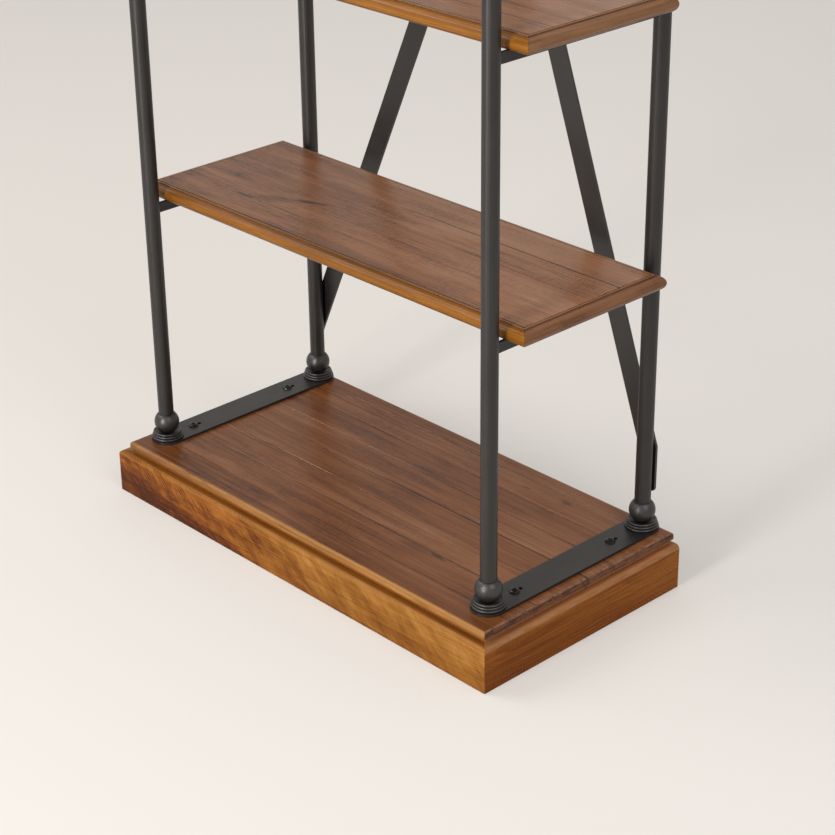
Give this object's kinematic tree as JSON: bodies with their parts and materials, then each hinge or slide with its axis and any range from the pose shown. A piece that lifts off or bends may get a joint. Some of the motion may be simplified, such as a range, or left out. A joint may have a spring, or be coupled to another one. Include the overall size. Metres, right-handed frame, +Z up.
{
  "type": "shelving unit",
  "caption": "Tall open shelving unit with moulded wooden shelves on round steel posts, ball feet and finials, a wooden plinth and crossing flat steel braces at the back.",
  "frame": {"origin": "on the floor, under the middle of the plinth", "axes": "+Z up along the posts, +X to the unit's right as seen from the front, -Y to the front; the braces are on the +Y side"},
  "size_m": [0.8, 0.3921, 2.2244],
  "materials": {
    "plinth_front_wood": "oiled hardwood, golden brown, satin",
    "plinth_left_wood": "oiled hardwood, golden brown, satin",
    "plinth_right_wood": "oiled hardwood, golden brown, satin",
    "plinth_rear_wood": "oiled hardwood, golden brown, satin",
    "base_top_wood": "oiled reddish-brown hardwood, satin, with fine saw marks",
    "floor_bar_left_steel": "matte charcoal powder coat",
    "floor_bar_right_steel": "matte charcoal powder coat",
    "floor_screw_front_left_steel": "blackened steel",
    "foot_flange_front_left_steel": "matte charcoal powder coat",
    "foot_ball_front_left_steel": "matte charcoal powder coat",
    "post_front_left_steel": "matte charcoal powder coat",
    "finial_front_left_steel": "matte charcoal powder coat",
    "floor_screw_front_right_steel": "blackened steel",
    "foot_flange_front_right_steel": "matte charcoal powder coat",
    "foot_ball_front_right_steel": "matte charcoal powder coat",
    "post_front_right_steel": "matte charcoal powder coat",
    "finial_front_right_steel": "matte charcoal powder coat",
    "floor_screw_rear_left_steel": "blackened steel",
    "foot_flange_rear_left_steel": "matte charcoal powder coat",
    "foot_ball_rear_left_steel": "matte charcoal powder coat",
    "post_rear_left_steel": "matte charcoal powder coat",
    "finial_rear_left_steel": "matte charcoal powder coat",
    "floor_screw_rear_right_steel": "blackened steel",
    "foot_flange_rear_right_steel": "matte charcoal powder coat",
    "foot_ball_rear_right_steel": "matte charcoal powder coat",
    "post_rear_right_steel": "matte charcoal powder coat",
    "finial_rear_right_steel": "matte charcoal powder coat",
    "shelf_1_panel_wood": "oiled reddish-brown hardwood, satin, with fine saw marks",
    "shelf_1_lip_left_wood": "oiled hardwood, end lip, satin",
    "shelf_1_bar_left_steel": "matte charcoal powder coat",
    "shelf_1_lip_right_wood": "oiled hardwood, end lip, satin",
    "shelf_1_bar_right_steel": "matte charcoal powder coat",
    "shelf_2_panel_wood": "oiled reddish-brown hardwood, satin, with fine saw marks",
    "shelf_2_lip_left_wood": "oiled hardwood, end lip, satin",
    "shelf_2_bar_left_steel": "matte charcoal powder coat",
    "shelf_2_lip_right_wood": "oiled hardwood, end lip, satin",
    "shelf_2_bar_right_steel": "matte charcoal powder coat",
    "shelf_3_panel_wood": "oiled reddish-brown hardwood, satin, with fine saw marks",
    "shelf_3_lip_left_wood": "oiled hardwood, end lip, satin",
    "shelf_3_bar_left_steel": "matte charcoal powder coat",
    "shelf_3_lip_right_wood": "oiled hardwood, end lip, satin",
    "shelf_3_bar_right_steel": "matte charcoal powder coat",
    "shelf_4_panel_wood": "oiled reddish-brown hardwood, satin, with fine saw marks",
    "shelf_4_lip_left_wood": "oiled hardwood, end lip, satin",
    "shelf_4_bar_left_steel": "matte charcoal powder coat",
    "shelf_4_lip_right_wood": "oiled hardwood, end lip, satin",
    "shelf_4_bar_right_steel": "matte charcoal powder coat",
    "shelf_5_panel_wood": "oiled reddish-brown hardwood, satin, with fine saw marks",
    "shelf_5_lip_left_wood": "oiled hardwood, end lip, satin",
    "shelf_5_bar_left_steel": "matte charcoal powder coat",
    "shelf_5_lip_right_wood": "oiled hardwood, end lip, satin",
    "shelf_5_bar_right_steel": "matte charcoal powder coat",
    "brace_left_steel": "matte charcoal powder coat",
    "brace_bolt_left_low_steel": "matte charcoal powder coat",
    "brace_bolt_left_high_steel": "matte charcoal powder coat",
    "brace_right_steel": "matte charcoal powder coat",
    "brace_bolt_right_low_steel": "matte charcoal powder coat",
    "brace_bolt_right_high_steel": "matte charcoal powder coat",
    "brace_crossing_rivet_steel": "matte charcoal powder coat"
  },
  "bodies": {
    "root": {"plinth_front": "plinth_front_wood", "plinth_left": "plinth_left_wood", "plinth_right": "plinth_right_wood", "plinth_rear": "plinth_rear_wood", "base_top": "base_top_wood", "floor_bar_left": "floor_bar_left_steel", "floor_bar_right": "floor_bar_right_steel", "floor_screw_front_left": "floor_screw_front_left_steel", "foot_flange_front_left": "foot_flange_front_left_steel", "foot_ball_front_left": "foot_ball_front_left_steel", "post_front_left": "post_front_left_steel", "finial_front_left": "finial_front_left_steel", "floor_screw_front_right": "floor_screw_front_right_steel", "foot_flange_front_right": "foot_flange_front_right_steel", "foot_ball_front_right": "foot_ball_front_right_steel", "post_front_right": "post_front_right_steel", "finial_front_right": "finial_front_right_steel", "floor_screw_rear_left": "floor_screw_rear_left_steel", "foot_flange_rear_left": "foot_flange_rear_left_steel", "foot_ball_rear_left": "foot_ball_rear_left_steel", "post_rear_left": "post_rear_left_steel", "finial_rear_left": "finial_rear_left_steel", "floor_screw_rear_right": "floor_screw_rear_right_steel", "foot_flange_rear_right": "foot_flange_rear_right_steel", "foot_ball_rear_right": "foot_ball_rear_right_steel", "post_rear_right": "post_rear_right_steel", "finial_rear_right": "finial_rear_right_steel", "shelf_1_panel": "shelf_1_panel_wood", "shelf_1_lip_left": "shelf_1_lip_left_wood", "shelf_1_bar_left": "shelf_1_bar_left_steel", "shelf_1_lip_right": "shelf_1_lip_right_wood", "shelf_1_bar_right": "shelf_1_bar_right_steel", "shelf_2_panel": "shelf_2_panel_wood", "shelf_2_lip_left": "shelf_2_lip_left_wood", "shelf_2_bar_left": "shelf_2_bar_left_steel", "shelf_2_lip_right": "shelf_2_lip_right_wood", "shelf_2_bar_right": "shelf_2_bar_right_steel", "shelf_3_panel": "shelf_3_panel_wood", "shelf_3_lip_left": "shelf_3_lip_left_wood", "shelf_3_bar_left": "shelf_3_bar_left_steel", "shelf_3_lip_right": "shelf_3_lip_right_wood", "shelf_3_bar_right": "shelf_3_bar_right_steel", "shelf_4_panel": "shelf_4_panel_wood", "shelf_4_lip_left": "shelf_4_lip_left_wood", "shelf_4_bar_left": "shelf_4_bar_left_steel", "shelf_4_lip_right": "shelf_4_lip_right_wood", "shelf_4_bar_right": "shelf_4_bar_right_steel", "shelf_5_panel": "shelf_5_panel_wood", "shelf_5_lip_left": "shelf_5_lip_left_wood", "shelf_5_bar_left": "shelf_5_bar_left_steel", "shelf_5_lip_right": "shelf_5_lip_right_wood", "shelf_5_bar_right": "shelf_5_bar_right_steel", "brace_left": "brace_left_steel", "brace_bolt_left_low": "brace_bolt_left_low_steel", "brace_bolt_left_high": "brace_bolt_left_high_steel", "brace_right": "brace_right_steel", "brace_bolt_right_low": "brace_bolt_right_low_steel", "brace_bolt_right_high": "brace_bolt_right_high_steel", "brace_crossing_rivet": "brace_crossing_rivet_steel"}
  },
  "joints": []
}
